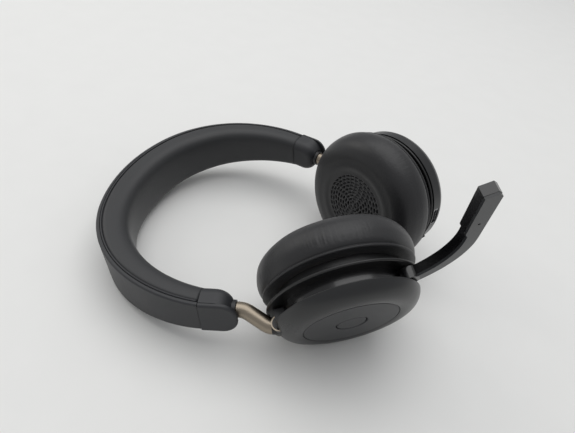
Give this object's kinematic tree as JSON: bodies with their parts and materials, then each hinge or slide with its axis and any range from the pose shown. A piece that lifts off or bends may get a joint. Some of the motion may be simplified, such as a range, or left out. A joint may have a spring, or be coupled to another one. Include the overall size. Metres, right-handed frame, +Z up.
{
  "type": "office headset",
  "caption": "Wireless on-ear office headset with a padded sprung headband, sliding and swivelling cup arms, tilting ear cups and a boom microphone that folds into its cup.",
  "frame": {"origin": "on the table under the middle of the headset, lying down as it rests", "axes": "+X from the headband crown towards the ear cups, +Y towards the wearer's left, +Z up from the table, which is roughly the wearer's front"},
  "size_m": [0.1698, 0.139, 0.1109],
  "materials": {
    "padding_leatherette": "soft charcoal leatherette, fine grain, satin",
    "band_shell": "soft-touch charcoal plastic, fine grain",
    "black_abs": "black ABS, fine matt texture",
    "gloss_black": "polished black plastic",
    "shell_abs": "dark charcoal shell, satin spark-eroded texture",
    "face_plate": "dark grey disc, fine satin",
    "bronze_metal": "champagne-bronze anodised metal, satin",
    "spring_steel": "blue-grey spring steel",
    "pin_steel": "ground steel",
    "zinc_black": "black-coated zinc casting",
    "acetal": "natural acetal",
    "diaphragm_film": "thin polymer film",
    "magnet": "nickel-plated magnet",
    "board_green": "green solder mask",
    "cell_foil": "aluminium foil pouch",
    "boom_cover": "dark grey satin cover",
    "mic_mesh": "fine steel mesh capsule"
  },
  "bodies": {
    "headband": {"band_cover": "band_shell", "band_cushion": "padding_leatherette", "band_spring": "spring_steel", "cap_inner_right": "band_shell", "cap_outer_right": "band_shell", "slider_guide_right": "acetal", "cap_inner_left": "band_shell", "cap_outer_left": "band_shell", "slider_guide_left": "acetal", "cap_screws": "pin_steel"},
    "slider_right": {"slider_strip_right": "spring_steel", "swivel_housing_right": "zinc_black"},
    "slider_left": {"slider_strip_left": "spring_steel", "swivel_housing_left": "zinc_black"},
    "arm_right": {"arm_right": "bronze_metal", "swivel_clip_right": "spring_steel"},
    "arm_left": {"arm_left": "bronze_metal", "swivel_clip_left": "spring_steel"},
    "cup_right": {"tilt_pin_right": "pin_steel", "ear_cushion_right": "padding_leatherette", "cushion_ring_right": "black_abs", "baffle_right": "black_abs", "cup_screws_right": "pin_steel", "driver_frame_right": "black_abs", "driver_magnet_right": "magnet", "driver_diaphragm_right": "diaphragm_film", "inner_ring_right": "gloss_black", "hinge_bracket_right": "zinc_black", "rear_shell_right": "shell_abs", "face_disc_right": "face_plate", "circuit_board_right": "board_green", "button_switch_right": "black_abs", "rocker_pin_right": "pin_steel", "boom_pin": "pin_steel"},
    "cup_left": {"tilt_pin_left": "pin_steel", "ear_cushion_left": "padding_leatherette", "cushion_ring_left": "black_abs", "baffle_left": "black_abs", "cup_screws_left": "pin_steel", "driver_frame_left": "black_abs", "driver_magnet_left": "magnet", "driver_diaphragm_left": "diaphragm_film", "inner_ring_left": "gloss_black", "hinge_bracket_left": "zinc_black", "rear_shell_left": "shell_abs", "face_disc_left": "face_plate", "circuit_board_left": "board_green", "face_inlay_left": "face_plate", "battery_left": "cell_foil", "charging_port_left": "pin_steel"},
    "boom": {"boom_arm": "gloss_black", "boom_cover": "boom_cover", "boom_microphones": "mic_mesh"},
    "volume_rocker": {"volume_rocker_right": "black_abs"},
    "power_switch": {"power_switch_right": "black_abs"},
    "side_key": {"side_key_left": "gloss_black"},
    "centre_button_right": {"centre_button_right": "face_plate"}
  },
  "joints": [
    {"name": "slider_right", "type": "slide", "parent": "headband", "child": "slider_right", "axis": [0.9506, 0.2717, 0.1503], "range_m": [0, 0.018]},
    {"name": "swivel_right", "type": "hinge", "parent": "slider_right", "child": "arm_right", "pos_m": [0.00781, -0.05826, 0.02252], "axis": [0.9506, 0.2717, 0.1503], "range_deg": [-28.6, 71.4]},
    {"name": "tilt_right", "type": "hinge", "parent": "arm_right", "child": "cup_right", "pos_m": [0.0275, -0.0584, 0.02336], "axis": [0.0423, 0.3661, -0.9296], "range_deg": [0, 26]},
    {"name": "centre_button_right", "type": "slide", "parent": "cup_right", "child": "centre_button_right", "axis": [-0.5692, 0.7735, 0.2787], "range_m": [0, 0.0005], "stiffness_N_per_m": 2000, "springref_m": -0.0004},
    {"name": "slider_left", "type": "slide", "parent": "headband", "child": "slider_left", "axis": [0.9553, -0.2717, 0.1162], "range_m": [0, 0.018]},
    {"name": "swivel_left", "type": "hinge", "parent": "slider_left", "child": "arm_left", "pos_m": [0.00679, 0.05826, 0.02982], "axis": [-0.9553, 0.2717, -0.1162], "range_deg": [-17.9, 82.1]},
    {"name": "tilt_left", "type": "hinge", "parent": "arm_left", "child": "cup_left", "pos_m": [0.02639, 0.05881, 0.03177], "axis": [-0.101, 0.0694, 0.9925], "range_deg": [0, 26]},
    {"name": "boom", "type": "hinge", "parent": "cup_right", "child": "boom", "pos_m": [0.06917, -0.03416, 0.05267], "axis": [0.5692, -0.7735, -0.2787], "range_deg": [0, 93]},
    {"name": "volume_rocker", "type": "hinge", "parent": "cup_right", "child": "volume_rocker", "pos_m": [0.05086, -0.03035, 0.0047], "axis": [0.5692, -0.7735, -0.2787], "range_deg": [-2.5, 2.5], "stiffness_Nm_per_rad": 0.5},
    {"name": "power_switch", "type": "slide", "parent": "cup_right", "child": "power_switch", "axis": [0.5819, 0.1395, 0.8012], "range_m": [0, 0.002]},
    {"name": "side_key", "type": "slide", "parent": "cup_left", "child": "side_key", "axis": [-0.7728, 0.4437, 0.4538], "range_m": [0, 0.0005], "stiffness_N_per_m": 1500, "springref_m": -0.0004}
  ]
}
